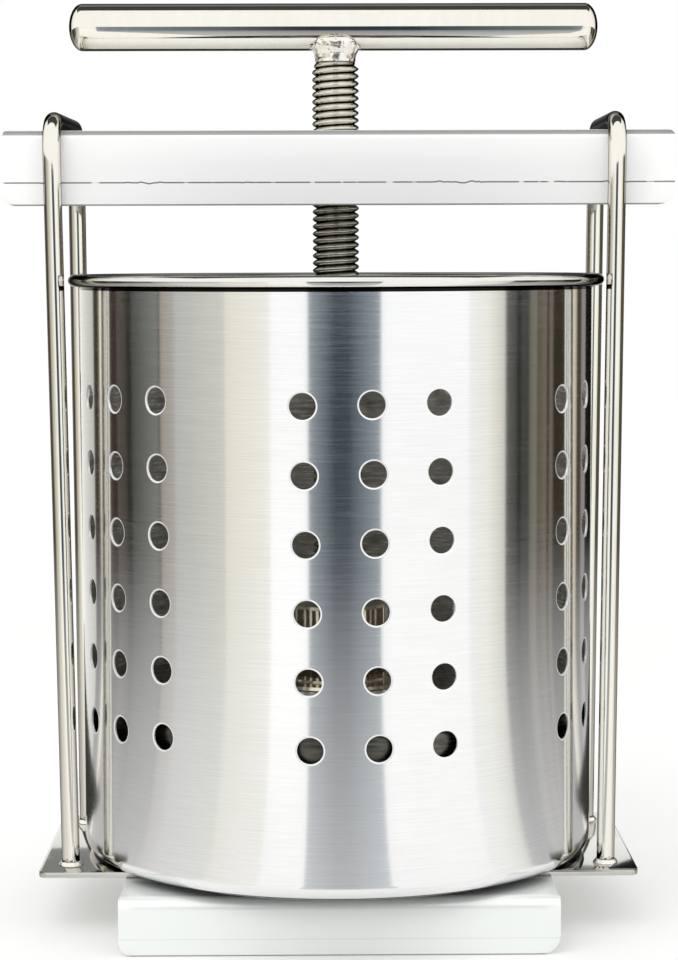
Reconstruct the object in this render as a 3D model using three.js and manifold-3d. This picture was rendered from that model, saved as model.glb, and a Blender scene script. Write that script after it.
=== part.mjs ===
// Hand-turned vegetable press: a perforated basket under a screw with a round press plate.
// Millimetres, +Z up, X along the crossbeam, -Y towards the viewer.
// The origin is on the ground plane, on the axis of the screw.

import * as THREE from 'three';
import { mergeVertices } from 'three/addons/utils/BufferGeometryUtils.js';
import Module from 'manifold-3d';

const wasm = await Module();
wasm.setup();

// Gap left where two welded or stacked pieces meet
const seatGap = 0.05;

// Facets of the round pieces: small rings and pins, screws and bars, the boss, the press plate
const smallSides = 14;
const roundSides = 24;
const bossSides = 28;
const plateSides = 42;

// Foot: a sheet folded down at the front and at the back
const footWidth = 143.6;
const footDepth = 144;
const footHeight = 19;
const footSheet = 2;
const footBend = 4;
const footCornerLeft = 4.5;
const footCornerRight = 6.5;
const footTopCorner = 0.5;

// Strip plate that carries the basket and the two wire loops
const stripLength = 201;
const stripDepth = 88;
const stripSheet = 2;
const stripCorner = 3;
const stripBottom = footHeight + seatGap;
const stripTop = stripBottom + stripSheet;
const baseWeldLeg = 3;
const baseWeldLength = 70;
const baseWeldHollow = 0.45;

// Wire loops; the left one stands slightly turned
const rodRadius = 3;
const legHalfSpacing = 32.5;
const loopFootX = 90.6;
const loopTopX = 93.3;
const loopTop = 274.2;
const loopBend = 9;
const loopFootGap = 0.15;
const leftLoopTurn = 1.1;
const footWeldRadius = 4.3;
const footWeldHeight = 1.3;
const footWeldToe = 0.4;
const footWeldSlope = 0.3;

// Basket: a drawn cup with a curled lip
const basketRadius = 88;
const basketSheet = 0.8;
const basketBottom = stripTop + seatGap;
const basketHeight = 199;
const basketCorner = 5.5;
const lipRadial = 2.6;
const lipVertical = 2.1;
const holeRadius = 4.25;
const holeRows = 6;
const firstRowHeight = 179.65;
const rowPitch = 21.8;
const columnPitch = 14.35;
const holeGroups = [-55.4, 7.6, 71.9, 131.5, 194, 251.5];
const groupTurn = 1.1;
const holeSides = 8;
const drillLength = 12;

// Crossbeam: a sheet folded down at the front and at the back
const beamLeft = -111;
const beamRight = 113;
const beamDepth = 55;
const beamBottom = 243;
const beamTop = 268;
const beamSheet = 2;
const beamBend = 3;
const beamCornerLeft = 3.8;
const beamCornerRight = 5.5;
const beamTopLeft = 1.2;
const beamTopRight = 2;
const beamRearShorter = 2.5;
const beamHole = 8.8;

// Threaded bush welded under the top of the crossbeam
const nutRadius = 13;
const nutBore = 8.35;
const nutLength = 18;
const nutWeldWidth = 3.4;

// Screw
const screwRadius = 8;
const threadDepth = 1.5;
const threadPitch = 2.5;
const threadBottom = 110;
const threadTop = 291;
const journalRadius = 6;
const journalEnd = 82.1;
const shoulderHeight = 107;
const grooveRadius = 4.5;
const grooveHeight = 92;
const grooveWidth = 5;

// Handle
const handleRadius = 8;
const handleLength = 180.8;
const handleShift = -0.6;
const handleHeight = 304.2;
const handleDome = 4.5;
const handleWeldBottom = 292.3;
// Radius of the bead at each height above its lower edge
const handleWeldProfile = [[7, 0], [7.1, 1.2], [7.6, 2.7], [8.5, 3.9], [9.3, 5.2], [9.6, 6.7], [9.3, 8.2], [8.3, 9.1]];

// Press plate: a disc with a skirt turned down, and the boss that holds the end of the screw
const plateRadius = 84.5;
const plateSheet = 2;
const plateTop = 76;
const plateSkirt = 12;
const plateBend = 3;
const bossFlange = 28;
const bossFlangeHeight = 4;
const bossRadius = 18;
const bossTop = 106;
const bossBore = 6.4;
const bossWeldWidth = 2.6;
const lockScrewRadius = 3;
const lockScrewTip = 2;
const lockScrewGap = 0.3;
const lockScrewRecess = 0.7;
const lockScrewSocket = 1.7;

const steel = (color, roughness) => new THREE.MeshStandardMaterial({ color, roughness, metalness: 1 });
const polished = () => steel(0xc9c8c4, 0.12);
const brushed = () => steel(0xc4c6c9, 0.28);
const satin = () => steel(0xdcdedd, 0.35);
const turned = () => steel(0xb4b2ac, 0.3);
const weldMetal = () => steel(0xb9b5ab, 0.22);

const group = new THREE.Group();

function addMesh(name, geometry, material) {
  const mesh = new THREE.Mesh(geometry, material);
  mesh.name = name;
  group.add(mesh);
  return mesh;
}

// A geometry with merged vertices and no zero-area triangles
function welded(geometry) {
  const plain = geometry.clone();
  plain.deleteAttribute('normal');
  plain.deleteAttribute('uv');
  const merged = mergeVertices(plain, 1e-4);
  const index = merged.index.array;
  const kept = [];
  for (let i = 0; i < index.length; i += 3) {
    const [a, b, c] = [index[i], index[i + 1], index[i + 2]];
    if (a !== b && b !== c && c !== a) {
      kept.push(a, b, c);
    }
  }
  merged.setIndex(kept);
  return merged;
}

function toSolid(geometry) {
  const merged = welded(geometry);
  return new wasm.Manifold(new wasm.Mesh({
    numProp: 3,
    vertProperties: new Float32Array(merged.attributes.position.array),
    triVerts: new Uint32Array(merged.index.array),
  }));
}

function toGeometry(solid) {
  const mesh = solid.getMesh();
  const geometry = new THREE.BufferGeometry();
  geometry.setAttribute('position', new THREE.BufferAttribute(new Float32Array(mesh.vertProperties), 3));
  geometry.setIndex(new THREE.BufferAttribute(new Uint32Array(mesh.triVerts), 1));
  geometry.computeVertexNormals();
  return geometry;
}

// Turns a profile of [radius, height] points about the Z axis
function turnedBody(points, segments) {
  const profile = points.map(([radius, height]) => new THREE.Vector2(radius, height));
  return new THREE.LatheGeometry(profile, segments).rotateX(Math.PI / 2);
}

// Points of an elliptical arc in a profile, with angles in degrees
function arcPoints(centreR, centreZ, radiusR, radiusZ, from, to, steps) {
  const points = [];
  for (let i = 0; i <= steps; i += 1) {
    const angle = THREE.MathUtils.degToRad(from + (to - from) * i / steps);
    points.push([centreR + radiusR * Math.cos(angle), centreZ + radiusZ * Math.sin(angle)]);
  }
  return points;
}

// A sheet channel that opens downwards: bent sides at the front and back, round lower corners
function sheetChannel({
  left, right, depth, bottom, top, sheet, bend, cornerLeft, cornerRight, topLeft, topRight, rearShorter = 0,
}) {
  const half = depth / 2;
  const inner = bend - sheet > 0.4 ? bend - sheet : 0.4;
  const steps = 5;
  const section = [
    [-half, bottom],
    ...arcPoints(-half + bend, top - bend, bend, bend, 180, 90, steps),
    ...arcPoints(half - bend, top - bend, bend, bend, 90, 0, steps),
    [half, bottom + rearShorter],
    [half - sheet, bottom + rearShorter],
    ...arcPoints(half - sheet - inner, top - sheet - inner, inner, inner, 0, 90, steps),
    ...arcPoints(-half + sheet + inner, top - sheet - inner, inner, inner, 90, 180, steps),
    [-half + sheet, bottom],
  ];
  const profile = new THREE.Shape(section.map(([y, z]) => new THREE.Vector2(y, z)));
  const folded = new THREE.ExtrudeGeometry(profile, { depth: right - left, bevelEnabled: false, steps: 1 });
  // Shape axes (y, z, along) become (along, y, z)
  folded.applyMatrix4(new THREE.Matrix4().set(0, 0, 1, left, 1, 0, 0, 0, 0, 1, 0, 0, 0, 0, 0, 1));
  const front = new THREE.Shape();
  const above = top + 0.02;
  front.moveTo(left + topLeft, above);
  front.absarc(left + topLeft, above - topLeft, topLeft, Math.PI / 2, Math.PI, false);
  front.lineTo(left, bottom + cornerLeft);
  front.absarc(left + cornerLeft, bottom + cornerLeft, cornerLeft, Math.PI, 1.5 * Math.PI, false);
  front.lineTo(right - cornerRight, bottom);
  front.absarc(right - cornerRight, bottom + cornerRight, cornerRight, 1.5 * Math.PI, 2 * Math.PI, false);
  front.lineTo(right, above - topRight);
  front.absarc(right - topRight, above - topRight, topRight, 0, Math.PI / 2, false);
  front.closePath();
  const outline = new THREE.ExtrudeGeometry(front, { depth: depth + 2, bevelEnabled: false, curveSegments: 6 });
  outline.rotateX(Math.PI / 2);
  outline.translate(0, half + 1, 0);
  return toSolid(folded).intersect(toSolid(outline));
}

function buildFoot() {
  const solid = sheetChannel({
    left: -footWidth / 2,
    right: footWidth / 2,
    depth: footDepth,
    bottom: 0,
    top: footHeight,
    sheet: footSheet,
    bend: footBend,
    cornerLeft: footCornerLeft,
    cornerRight: footCornerRight,
    topLeft: footTopCorner,
    topRight: footTopCorner,
  });
  addMesh('base_foot', toGeometry(solid), satin());
}

function buildStrip() {
  const [x, y, r] = [stripLength / 2, stripDepth / 2, stripCorner];
  const shape = new THREE.Shape();
  shape.moveTo(-x + r, -y);
  shape.lineTo(x - r, -y);
  shape.absarc(x - r, -y + r, r, -Math.PI / 2, 0, false);
  shape.lineTo(x, y - r);
  shape.absarc(x - r, y - r, r, 0, Math.PI / 2, false);
  shape.lineTo(-x + r, y);
  shape.absarc(-x + r, y - r, r, Math.PI / 2, Math.PI, false);
  shape.lineTo(-x, -y + r);
  shape.absarc(-x + r, -y + r, r, Math.PI, 1.5 * Math.PI, false);
  const plate = new THREE.ExtrudeGeometry(shape, { depth: stripSheet, bevelEnabled: false, curveSegments: 5 });
  plate.translate(0, 0, stripBottom);
  addMesh('base_strip', plate, polished());
}

// Fillet weld under the strip, along one side of the foot
function buildBaseWeld(name, side) {
  const shape = new THREE.Shape();
  shape.moveTo(0, 0);
  shape.lineTo(baseWeldLeg, 0);
  shape.lineTo(baseWeldLeg * baseWeldHollow, -baseWeldLeg * baseWeldHollow);
  shape.lineTo(0, -baseWeldLeg);
  shape.closePath();
  const bead = new THREE.ExtrudeGeometry(shape, { depth: baseWeldLength, bevelEnabled: false });
  bead.rotateX(Math.PI / 2);
  bead.translate(footWidth / 2 + seatGap, baseWeldLength / 2, stripBottom - seatGap);
  if (side < 0) {
    bead.rotateZ(Math.PI);
  }
  addMesh(name, bead, weldMetal());
}

// Centre line of one wire loop: a leg up, a bend, a flat top, a bend and a leg down
class LoopCurve extends THREE.Curve {
  constructor(side, bendSteps) {
    super();
    this.side = side;
    this.bendSteps = bendSteps;
    this.steps = 3 + 2 * bendSteps;
  }

  getUtoTmapping(u) {
    return u;
  }

  getPoint(t, target = new THREE.Vector3()) {
    const low = stripTop + loopFootGap;
    const high = loopTop - rodRadius;
    const quarter = Math.PI / 2;
    const s = Math.min(t, 1 - t) * this.steps;
    let y = 0;
    let z = 0;
    if (s < 1) {
      y = -legHalfSpacing;
      z = low + (high - loopBend - low) * s;
    } else if (s < 1 + this.bendSteps) {
      const angle = quarter * (s - 1) / this.bendSteps;
      y = -legHalfSpacing + loopBend * (1 - Math.cos(angle));
      z = high - loopBend * (1 - Math.sin(angle));
    } else {
      y = (legHalfSpacing - loopBend) * 2 * (s - 1 - this.bendSteps) - legHalfSpacing + loopBend;
      z = high;
    }
    const lean = (z - stripTop) / (loopTop - stripTop);
    const across = t < 0.5 ? y : -y;
    const turn = this.side < 0 ? leftLoopTurn * lean * across / legHalfSpacing : 0;
    const x = this.side * (loopFootX + (loopTopX - loopFootX) * lean) + turn;
    return target.set(x, across, z);
  }
}

function buildLoop(name, side) {
  const path = new LoopCurve(side, 7);
  const section = new THREE.Shape();
  const sides = 12;
  for (let i = 0; i < sides; i += 1) {
    const angle = 2 * Math.PI * (i + 0.5) / sides;
    const [x, y] = [rodRadius * Math.cos(angle), rodRadius * Math.sin(angle)];
    if (i === 0) {
      section.moveTo(x, y);
    } else {
      section.lineTo(x, y);
    }
  }
  section.closePath();
  const rod = new THREE.ExtrudeGeometry(section, { steps: path.steps, extrudePath: path, bevelEnabled: false });
  addMesh(name, rod, polished());
}

// Ring of weld round the foot of one leg
function buildFootWeld(name, side, depthSide) {
  const inner = rodRadius + 0.2;
  const ring = turnedBody([
    [inner, 0],
    [footWeldRadius, 0],
    [footWeldRadius - footWeldSlope, footWeldToe],
    [inner + footWeldSlope, footWeldHeight],
    [inner, footWeldHeight],
    [inner, 0],
  ], smallSides);
  ring.translate(side * loopFootX, depthSide * legHalfSpacing, stripTop + seatGap);
  addMesh(name, ring, weldMetal());
}

// Angles of the flat facets of the basket: one facet under each column of holes
function basketAngles() {
  const halfFacet = 3.45;
  const angles = [];
  holeGroups.forEach((centre, i) => {
    for (const column of [-1, 0, 1]) {
      angles.push(centre + column * columnPitch - halfFacet);
      angles.push(centre + column * columnPitch + halfFacet);
    }
    const next = i + 1 < holeGroups.length ? holeGroups[i + 1] : holeGroups[0] + 360;
    const from = centre + columnPitch + halfFacet;
    const to = next - columnPitch - halfFacet;
    const count = 4;
    for (let k = 1; k < count; k += 1) {
      angles.push(from + (to - from) * k / count);
    }
  });
  return angles;
}

// Turns a closed profile about Z with a facet edge at each of the given angles.
// Angle 0 faces -Y and grows towards +X; the profile starts and ends on the axis.
function facetedBody(points, angles) {
  const rows = points.length;
  const positions = [];
  for (const degrees of angles) {
    const angle = THREE.MathUtils.degToRad(degrees);
    for (const [radius, height] of points) {
      positions.push(radius * Math.sin(angle), -radius * Math.cos(angle), height);
    }
  }
  const index = [];
  for (let i = 0; i < angles.length; i += 1) {
    const a = i * rows;
    const b = ((i + 1) % angles.length) * rows;
    for (let j = 0; j + 1 < rows; j += 1) {
      index.push(a + j, b + j, b + j + 1);
      index.push(a + j, b + j + 1, a + j + 1);
    }
  }
  const geometry = new THREE.BufferGeometry();
  geometry.setAttribute('position', new THREE.BufferAttribute(new Float32Array(positions), 3));
  geometry.setIndex(index);
  return geometry;
}

function buildBasket() {
  const inner = basketRadius - basketSheet;
  const floor = basketBottom + basketSheet;
  const cornerCentre = [basketRadius - basketCorner, basketBottom + basketCorner];
  const lipCentre = [inner + lipRadial, basketBottom + basketHeight - lipVertical];
  const lipEnd = -150;
  const profile = [
    [0, basketBottom],
    ...arcPoints(...cornerCentre, basketCorner, basketCorner, -90, 0, 3),
    ...arcPoints(...lipCentre, lipRadial - basketSheet, lipVertical - basketSheet, 180, lipEnd, 5),
    ...arcPoints(...lipCentre, lipRadial, lipVertical, lipEnd, 180, 6),
    ...arcPoints(...cornerCentre, basketCorner - basketSheet, basketCorner - basketSheet, 0, -90, 3),
    [0, floor],
  ];
  let solid = toSolid(facetedBody(profile, basketAngles()));
  const middle = firstRowHeight - rowPitch * (holeRows - 1) / 2;
  const turn = THREE.MathUtils.degToRad(groupTurn);
  for (const centre of holeGroups) {
    for (const column of [-1, 0, 1]) {
      for (let row = 0; row < holeRows; row += 1) {
        const across = THREE.MathUtils.degToRad(column * columnPitch) * basketRadius;
        const up = rowPitch * ((holeRows - 1) / 2 - row);
        const shift = -up * Math.sin(turn);
        const height = middle + up * Math.cos(turn) + across * Math.sin(turn);
        const facing = THREE.MathUtils.degToRad(centre + column * columnPitch);
        const drill = new THREE.CylinderGeometry(holeRadius, holeRadius, drillLength, holeSides);
        drill.translate(shift, -basketRadius, height);
        drill.rotateZ(facing);
        solid = solid.subtract(toSolid(drill));
      }
    }
  }
  addMesh('basket', toGeometry(solid), brushed());
}

function buildBeam() {
  let solid = sheetChannel({
    left: beamLeft,
    right: beamRight,
    depth: beamDepth,
    bottom: beamBottom,
    top: beamTop,
    sheet: beamSheet,
    bend: beamBend,
    cornerLeft: beamCornerLeft,
    cornerRight: beamCornerRight,
    topLeft: beamTopLeft,
    topRight: beamTopRight,
    rearShorter: beamRearShorter,
  });
  const drill = new THREE.CylinderGeometry(beamHole, beamHole, drillLength, roundSides);
  drill.rotateX(Math.PI / 2);
  drill.translate(0, 0, beamTop);
  solid = solid.subtract(toSolid(drill));
  addMesh('crossbeam', toGeometry(solid), satin());
}

function buildNut() {
  const top = beamTop - beamSheet - seatGap;
  const bottom = top - nutLength;
  const chamfer = 1;
  const bush = turnedBody([
    [nutBore + chamfer, bottom],
    [nutRadius - chamfer, bottom],
    [nutRadius, bottom + chamfer],
    [nutRadius, top],
    [nutBore, top],
    [nutBore, bottom + chamfer],
    [nutBore + chamfer, bottom],
  ], roundSides);
  addMesh('screw_nut', bush, turned());
  const inner = nutRadius + seatGap;
  const toe = 0.55;
  const hollow = 0.45;
  const bead = turnedBody([
    [inner, top - nutWeldWidth],
    [inner + toe, top - nutWeldWidth],
    [inner + nutWeldWidth * hollow, top - nutWeldWidth * hollow],
    [inner + nutWeldWidth, top - toe],
    [inner + nutWeldWidth, top],
    [inner, top],
    [inner, top - nutWeldWidth],
  ], roundSides);
  addMesh('nut_weld', bead, weldMetal());
}

// Right-hand V thread between two heights; both ends run out to the core.
function threadedBody(from, to) {
  const sides = 12;
  const core = screwRadius - threadDepth;
  const turns = Math.ceil((to - from) / threadPitch) + 2;
  const rows = [];
  for (let i = 0; i <= 2 * turns; i += 1) {
    rows.push({ height: from + (i / 2 - 1) * threadPitch, crest: i % 2 === 1 });
  }
  const positions = [0, 0, from, 0, 0, to];
  for (const row of rows) {
    for (let j = 0; j < sides; j += 1) {
      const angle = 2 * Math.PI * j / sides;
      const raw = row.height + threadPitch * j / sides;
      const height = Math.min(Math.max(raw, from), to);
      const margin = Math.min(raw - from, to - raw) / threadPitch;
      const rise = row.crest ? Math.min(Math.max(margin, 0), 1) : 0;
      const radius = core + threadDepth * rise;
      positions.push(radius * Math.cos(angle), radius * Math.sin(angle), height);
    }
  }
  const at = (i, j) => 2 + (i + (j >= sides ? 2 : 0)) * sides + (j % sides);
  const index = [];
  const last = rows.length - 1;
  for (let i = 0; i < last; i += 1) {
    for (let j = 0; j < sides; j += 1) {
      if (j + 1 < sides || i + 3 <= last) {
        index.push(at(i, j), at(i, j + 1), at(i + 1, j + 1));
        index.push(at(i, j), at(i + 1, j + 1), at(i + 1, j));
      }
    }
  }
  for (let j = 0; j < sides; j += 1) {
    index.push(0, 2 + (j + 1) % sides, 2 + j);
    index.push(1, 2 + last * sides + j, 2 + last * sides + (j + 1) % sides);
  }
  const geometry = new THREE.BufferGeometry();
  geometry.setAttribute('position', new THREE.BufferAttribute(new Float32Array(positions), 3));
  geometry.setIndex(index);
  return geometry;
}

function cylinderAlongX(radius, length, segments) {
  const geometry = new THREE.CylinderGeometry(radius, radius, length, segments);
  geometry.rotateZ(Math.PI / 2);
  return geometry;
}

// The room that the handle bar takes in the head of the screw and in its weld
function handleSeat() {
  const clearance = 0.15;
  const seat = cylinderAlongX(handleRadius + clearance, handleLength, roundSides + 8);
  seat.translate(0, 0, handleHeight);
  return toSolid(seat);
}

function buildScrew() {
  const core = screwRadius - threadDepth;
  const neck = 0.6;
  const overlap = 0.5;
  const grooveLow = grooveHeight - grooveWidth / 2;
  const grooveHigh = grooveHeight + grooveWidth / 2;
  const journal = turnedBody([
    [0, journalEnd],
    [journalRadius - neck, journalEnd],
    [journalRadius, journalEnd + neck],
    [journalRadius, grooveLow],
    [grooveRadius, grooveLow],
    [grooveRadius, grooveHigh],
    [journalRadius, grooveHigh],
    [journalRadius, shoulderHeight],
    [core, shoulderHeight],
    [core, threadBottom + overlap],
    [0, threadBottom + overlap],
  ], roundSides);
  const shank = turnedBody([
    [0, threadTop - overlap],
    [core, threadTop - overlap],
    [core, handleHeight],
    [0, handleHeight],
  ], roundSides);
  const solid = toSolid(threadedBody(threadBottom, threadTop))
    .add(toSolid(journal))
    .add(toSolid(shank).subtract(handleSeat()));
  addMesh('screw', toGeometry(solid), turned());
}

function buildHandle() {
  const half = handleLength / 2;
  const bar = turnedBody([
    ...arcPoints(0, -half + handleDome, handleRadius, handleDome, -90, 0, 5),
    ...arcPoints(0, half - handleDome, handleRadius, handleDome, 0, 90, 5),
  ].map(([radius, along]) => [Math.max(radius, 0) < 1e-6 ? 0 : radius, along]), roundSides);
  bar.rotateY(Math.PI / 2);
  bar.translate(handleShift, 0, handleHeight);
  addMesh('handle_bar', bar, polished());
}

// Weld that runs round the neck of the screw and up the sides of the handle bar
function buildHandleWeld() {
  const bore = screwRadius - threadDepth + 0.15;
  const bead = handleWeldProfile.map(([radius, rise]) => [radius, handleWeldBottom + rise]);
  const saddle = turnedBody([
    [bore, handleWeldBottom],
    ...bead,
    [bore, bead[bead.length - 1][1]],
    [bore, handleWeldBottom],
  ], roundSides);
  const solid = toSolid(saddle).subtract(handleSeat());
  addMesh('handle_weld', toGeometry(solid), weldMetal());
}

function buildPlate() {
  const bottom = plateTop - plateSkirt;
  const inner = plateBend - plateSheet;
  const centre = [plateRadius - plateBend, plateTop - plateBend];
  const plate = turnedBody([
    [0, plateTop - plateSheet],
    ...arcPoints(...centre, inner, inner, 90, 0, 3),
    [plateRadius - plateSheet, bottom],
    [plateRadius, bottom],
    ...arcPoints(...centre, plateBend, plateBend, 0, 90, 3),
    [0, plateTop],
  ], plateSides);
  addMesh('press_plate', plate, brushed());
}

function buildBoss() {
  const bottom = plateTop + seatGap;
  const flangeTop = bottom + bossFlangeHeight;
  const edge = 1;
  const body = turnedBody([
    [0, bottom],
    [bossFlange, bottom],
    [bossFlange, flangeTop - edge],
    [bossFlange - edge, flangeTop],
    [bossRadius, flangeTop],
    [bossRadius, bossTop - edge],
    [bossRadius - edge, bossTop],
    [bossBore, bossTop],
    [bossBore, flangeTop],
    [0, flangeTop],
  ], bossSides);
  let solid = toSolid(body);
  for (const side of [-1, 1]) {
    const drill = cylinderAlongX(lockScrewRadius + lockScrewGap, bossRadius, smallSides);
    drill.translate(side * (bossRadius + bossBore) / 2, 0, grooveHeight);
    solid = solid.subtract(toSolid(drill));
  }
  addMesh('plate_boss', toGeometry(solid), turned());
  const inner = bossFlange + seatGap;
  const hollow = 0.45;
  const bead = turnedBody([
    [inner, bottom],
    [inner + bossWeldWidth, bottom],
    [inner + bossWeldWidth * hollow, bottom + bossWeldWidth * hollow],
    [inner, bottom + bossWeldWidth],
    [inner, bottom],
  ], bossSides);
  addMesh('boss_weld', bead, weldMetal());
}

// Hardened disc under the end of the screw, at the bottom of the boss
function buildThrustDisc() {
  const bottom = plateTop + seatGap + bossFlangeHeight + seatGap;
  const disc = new THREE.CylinderGeometry(journalRadius, journalRadius, journalEnd - seatGap - bottom, roundSides);
  disc.rotateX(Math.PI / 2);
  disc.translate(0, 0, (bottom + journalEnd - seatGap) / 2);
  addMesh('thrust_disc', disc, turned());
}

// Grub screw whose tip runs in the groove of the screw's end
function buildLockScrew(name, side) {
  const tipEnd = grooveRadius + lockScrewGap;
  const coneStart = bossBore + lockScrewTip * lockScrewGap;
  const outer = bossRadius - lockScrewRecess;
  const body = turnedBody([
    [0, tipEnd],
    [lockScrewTip, tipEnd],
    [lockScrewTip, coneStart],
    [lockScrewRadius, coneStart + lockScrewRadius - lockScrewTip],
    [lockScrewRadius, outer],
    [0, outer],
  ], smallSides);
  const socket = new THREE.CylinderGeometry(lockScrewSocket, lockScrewSocket, 2 * lockScrewRadius, 6);
  socket.rotateX(Math.PI / 2);
  socket.translate(0, 0, outer);
  const solid = toSolid(body).subtract(toSolid(socket));
  const mesh = addMesh(name, toGeometry(solid), turned());
  mesh.rotation.y = side * Math.PI / 2;
  mesh.position.z = grooveHeight;
}

buildFoot();
buildStrip();
buildBaseWeld('base_weld_left', -1);
buildBaseWeld('base_weld_right', 1);
buildLoop('left_loop', -1);
buildLoop('right_loop', 1);
buildFootWeld('foot_weld_left_front', -1, -1);
buildFootWeld('foot_weld_left_rear', -1, 1);
buildFootWeld('foot_weld_right_front', 1, -1);
buildFootWeld('foot_weld_right_rear', 1, 1);
buildBasket();
buildBeam();
buildNut();
buildScrew();
buildHandle();
buildHandleWeld();
buildPlate();
buildBoss();
buildThrustDisc();
buildLockScrew('lock_screw_left', -1);
buildLockScrew('lock_screw_right', 1);

export default group;
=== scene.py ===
import math
from functools import partial

import bpy
import numpy as np
from mathutils import Matrix, Vector, noise


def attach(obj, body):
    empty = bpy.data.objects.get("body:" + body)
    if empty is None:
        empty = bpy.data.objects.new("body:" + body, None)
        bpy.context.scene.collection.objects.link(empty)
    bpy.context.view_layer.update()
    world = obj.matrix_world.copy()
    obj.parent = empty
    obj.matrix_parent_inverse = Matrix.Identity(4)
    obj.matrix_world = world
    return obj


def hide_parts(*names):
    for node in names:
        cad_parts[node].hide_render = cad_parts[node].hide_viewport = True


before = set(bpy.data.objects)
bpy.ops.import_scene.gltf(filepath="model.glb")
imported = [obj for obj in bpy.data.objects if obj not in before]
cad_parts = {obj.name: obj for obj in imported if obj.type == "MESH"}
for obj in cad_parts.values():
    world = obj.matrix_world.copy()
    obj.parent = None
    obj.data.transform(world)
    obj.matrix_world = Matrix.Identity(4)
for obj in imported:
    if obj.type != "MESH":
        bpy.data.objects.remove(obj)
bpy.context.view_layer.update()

mm = 0.001
seatGap = 0.05  # mm between two pieces that meet


# Helpers

def linear(hexColour):
    # sRGB hex to the linear values that Blender works in
    parts = [int(hexColour[i:i + 2], 16) / 255 for i in (0, 2, 4)]
    return [p / 12.92 if p <= 0.04045 else ((p + 0.055) / 1.055) ** 2.4 for p in parts] + [1.0]


def addNode(tree, kind, inputs=(), **settings):
    # one node with its settings and what goes into its sockets, in order or by name: values, outputs or nodes
    node = tree.nodes.new(kind)
    for name, value in settings.items():
        setattr(node, name, value)
    for key, value in inputs.items() if isinstance(inputs, dict) else enumerate(inputs):
        if isinstance(value, bpy.types.Node):
            value = value.outputs[0]
        if isinstance(value, bpy.types.NodeSocket):
            tree.links.new(value, node.inputs[key])
        else:
            node.inputs[key].default_value = value
    return node


def meshObject(name, points, faces, material=None):
    # points in millimetres
    mesh = bpy.data.meshes.new(name)
    mesh.from_pydata([tuple(c * mm for c in p) for p in points], [], faces)
    mesh.validate()
    mesh.update()
    piece = bpy.data.objects.new(name, mesh)
    bpy.context.scene.collection.objects.link(piece)
    if material:
        mesh.materials.append(material)
    return piece


def smoothen(piece, sharpAngle=32):
    piece.data.shade_smooth()
    piece.data.set_sharp_from_angle(angle=math.radians(sharpAngle))
    return piece


def modify(piece, kind, **settings):
    # one modifier with its settings
    modifier = piece.modifiers.new(kind.lower(), kind)
    for name, value in settings.items():
        setattr(modifier, name, value)


def breakEdges(piece, width):
    # a small bevel on every sharp edge
    modify(piece, "BEVEL", width=width * mm, segments=2, limit_method="ANGLE", angle_limit=math.radians(50))


def applied(piece, *cutters):
    # the evaluated piece as a plain mesh, with no modifier left and what cut it taken away
    graph = bpy.context.evaluated_depsgraph_get()
    graph.update()
    mesh = bpy.data.meshes.new_from_object(piece.evaluated_get(graph), depsgraph=graph)
    old = piece.data
    piece.modifiers.clear()
    piece.data = mesh
    if old.users == 0:
        bpy.data.meshes.remove(old)
    for cutter in cutters:
        bpy.data.objects.remove(cutter)
    return piece


def circlePoint(degrees, radius=1.0):
    return radius * math.cos(math.radians(degrees)), radius * math.sin(math.radians(degrees))


def arc(centreR, centreZ, radiusR, radiusZ, start, end, steps):
    # points of an ellipse's arc, from one angle to the other in degrees
    units = [circlePoint(start + (end - start) * i / steps) for i in range(steps + 1)]
    return [(centreR + radiusR * r, centreZ + radiusZ * z) for r, z in units]


def gridFaces(rows, columns, start=0, around=False, along=False, flip=False):
    # faces over a grid of points, row by row: around closes each row, along joins the last row to the first
    faces = []
    for j in range(rows if along else rows - 1):
        a, b = start + j * columns, start + (j + 1) % rows * columns
        for i in range(columns if around else columns - 1):
            k = (i + 1) % columns
            faces.append((a + i, b + i, b + k, a + k) if flip else (a + i, a + k, b + k, b + i))
    return faces


def turnedMesh(profile, sides):
    # closed body from a profile of (radius, height), turned about Z; points on the axis become poles
    points, rings, faces = [], [], []
    for radius, height in profile:
        if radius < 1e-6:
            rings.append([len(points)])
            points.append((0, 0, height))
        else:
            rings.append(list(range(len(points), len(points) + sides)))
            points += [(*circlePoint(360 * i / sides, radius), height) for i in range(sides)]
    for low, high in zip(rings, rings[1:]):
        for i in range(sides):
            k = (i + 1) % sides
            if len(low) == 1 and len(high) == 1:
                continue
            if len(low) == 1:
                faces.append((low[0], high[k], high[i]))
            elif len(high) == 1:
                faces.append((low[i], low[k], high[0]))
            else:
                faces.append((low[i], low[k], high[k], high[i]))
    return points, faces


def finishPiece(piece, body, slotName, *nodes):
    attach(piece, body)
    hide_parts(*nodes)
    return piece


# Camera

view = {
    "place": (-6.915, -875.66, 224.69),  # mm
    "pitch": -4.967,
    "yaw": -0.5075,
    "roll": 0.1658,
    "lens": 94.824,
    "sensor": 36,
}

cameraData = bpy.data.cameras.new("camera")
cameraData.sensor_width = view["sensor"]
cameraData.lens = view["lens"]
cameraData.clip_start = 0.01
camera = bpy.data.objects.new("camera", cameraData)
bpy.context.scene.collection.objects.link(camera)
turn = (Matrix.Rotation(math.radians(view["yaw"]), 4, "Z")
        @ Matrix.Rotation(math.radians(90 + view["pitch"]), 4, "X")
        @ Matrix.Rotation(math.radians(-view["roll"]), 4, "Z"))
camera.matrix_world = Matrix.Translation(Vector(view["place"]) * mm) @ turn
bpy.context.scene.camera = camera
print("camera stands")


# Materials

def clearNodes(owner):
    # an empty node tree of a material or world, and the call that adds a node to it
    owner.use_nodes = True
    owner.node_tree.nodes.clear()
    return owner, partial(addNode, owner.node_tree)


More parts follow.
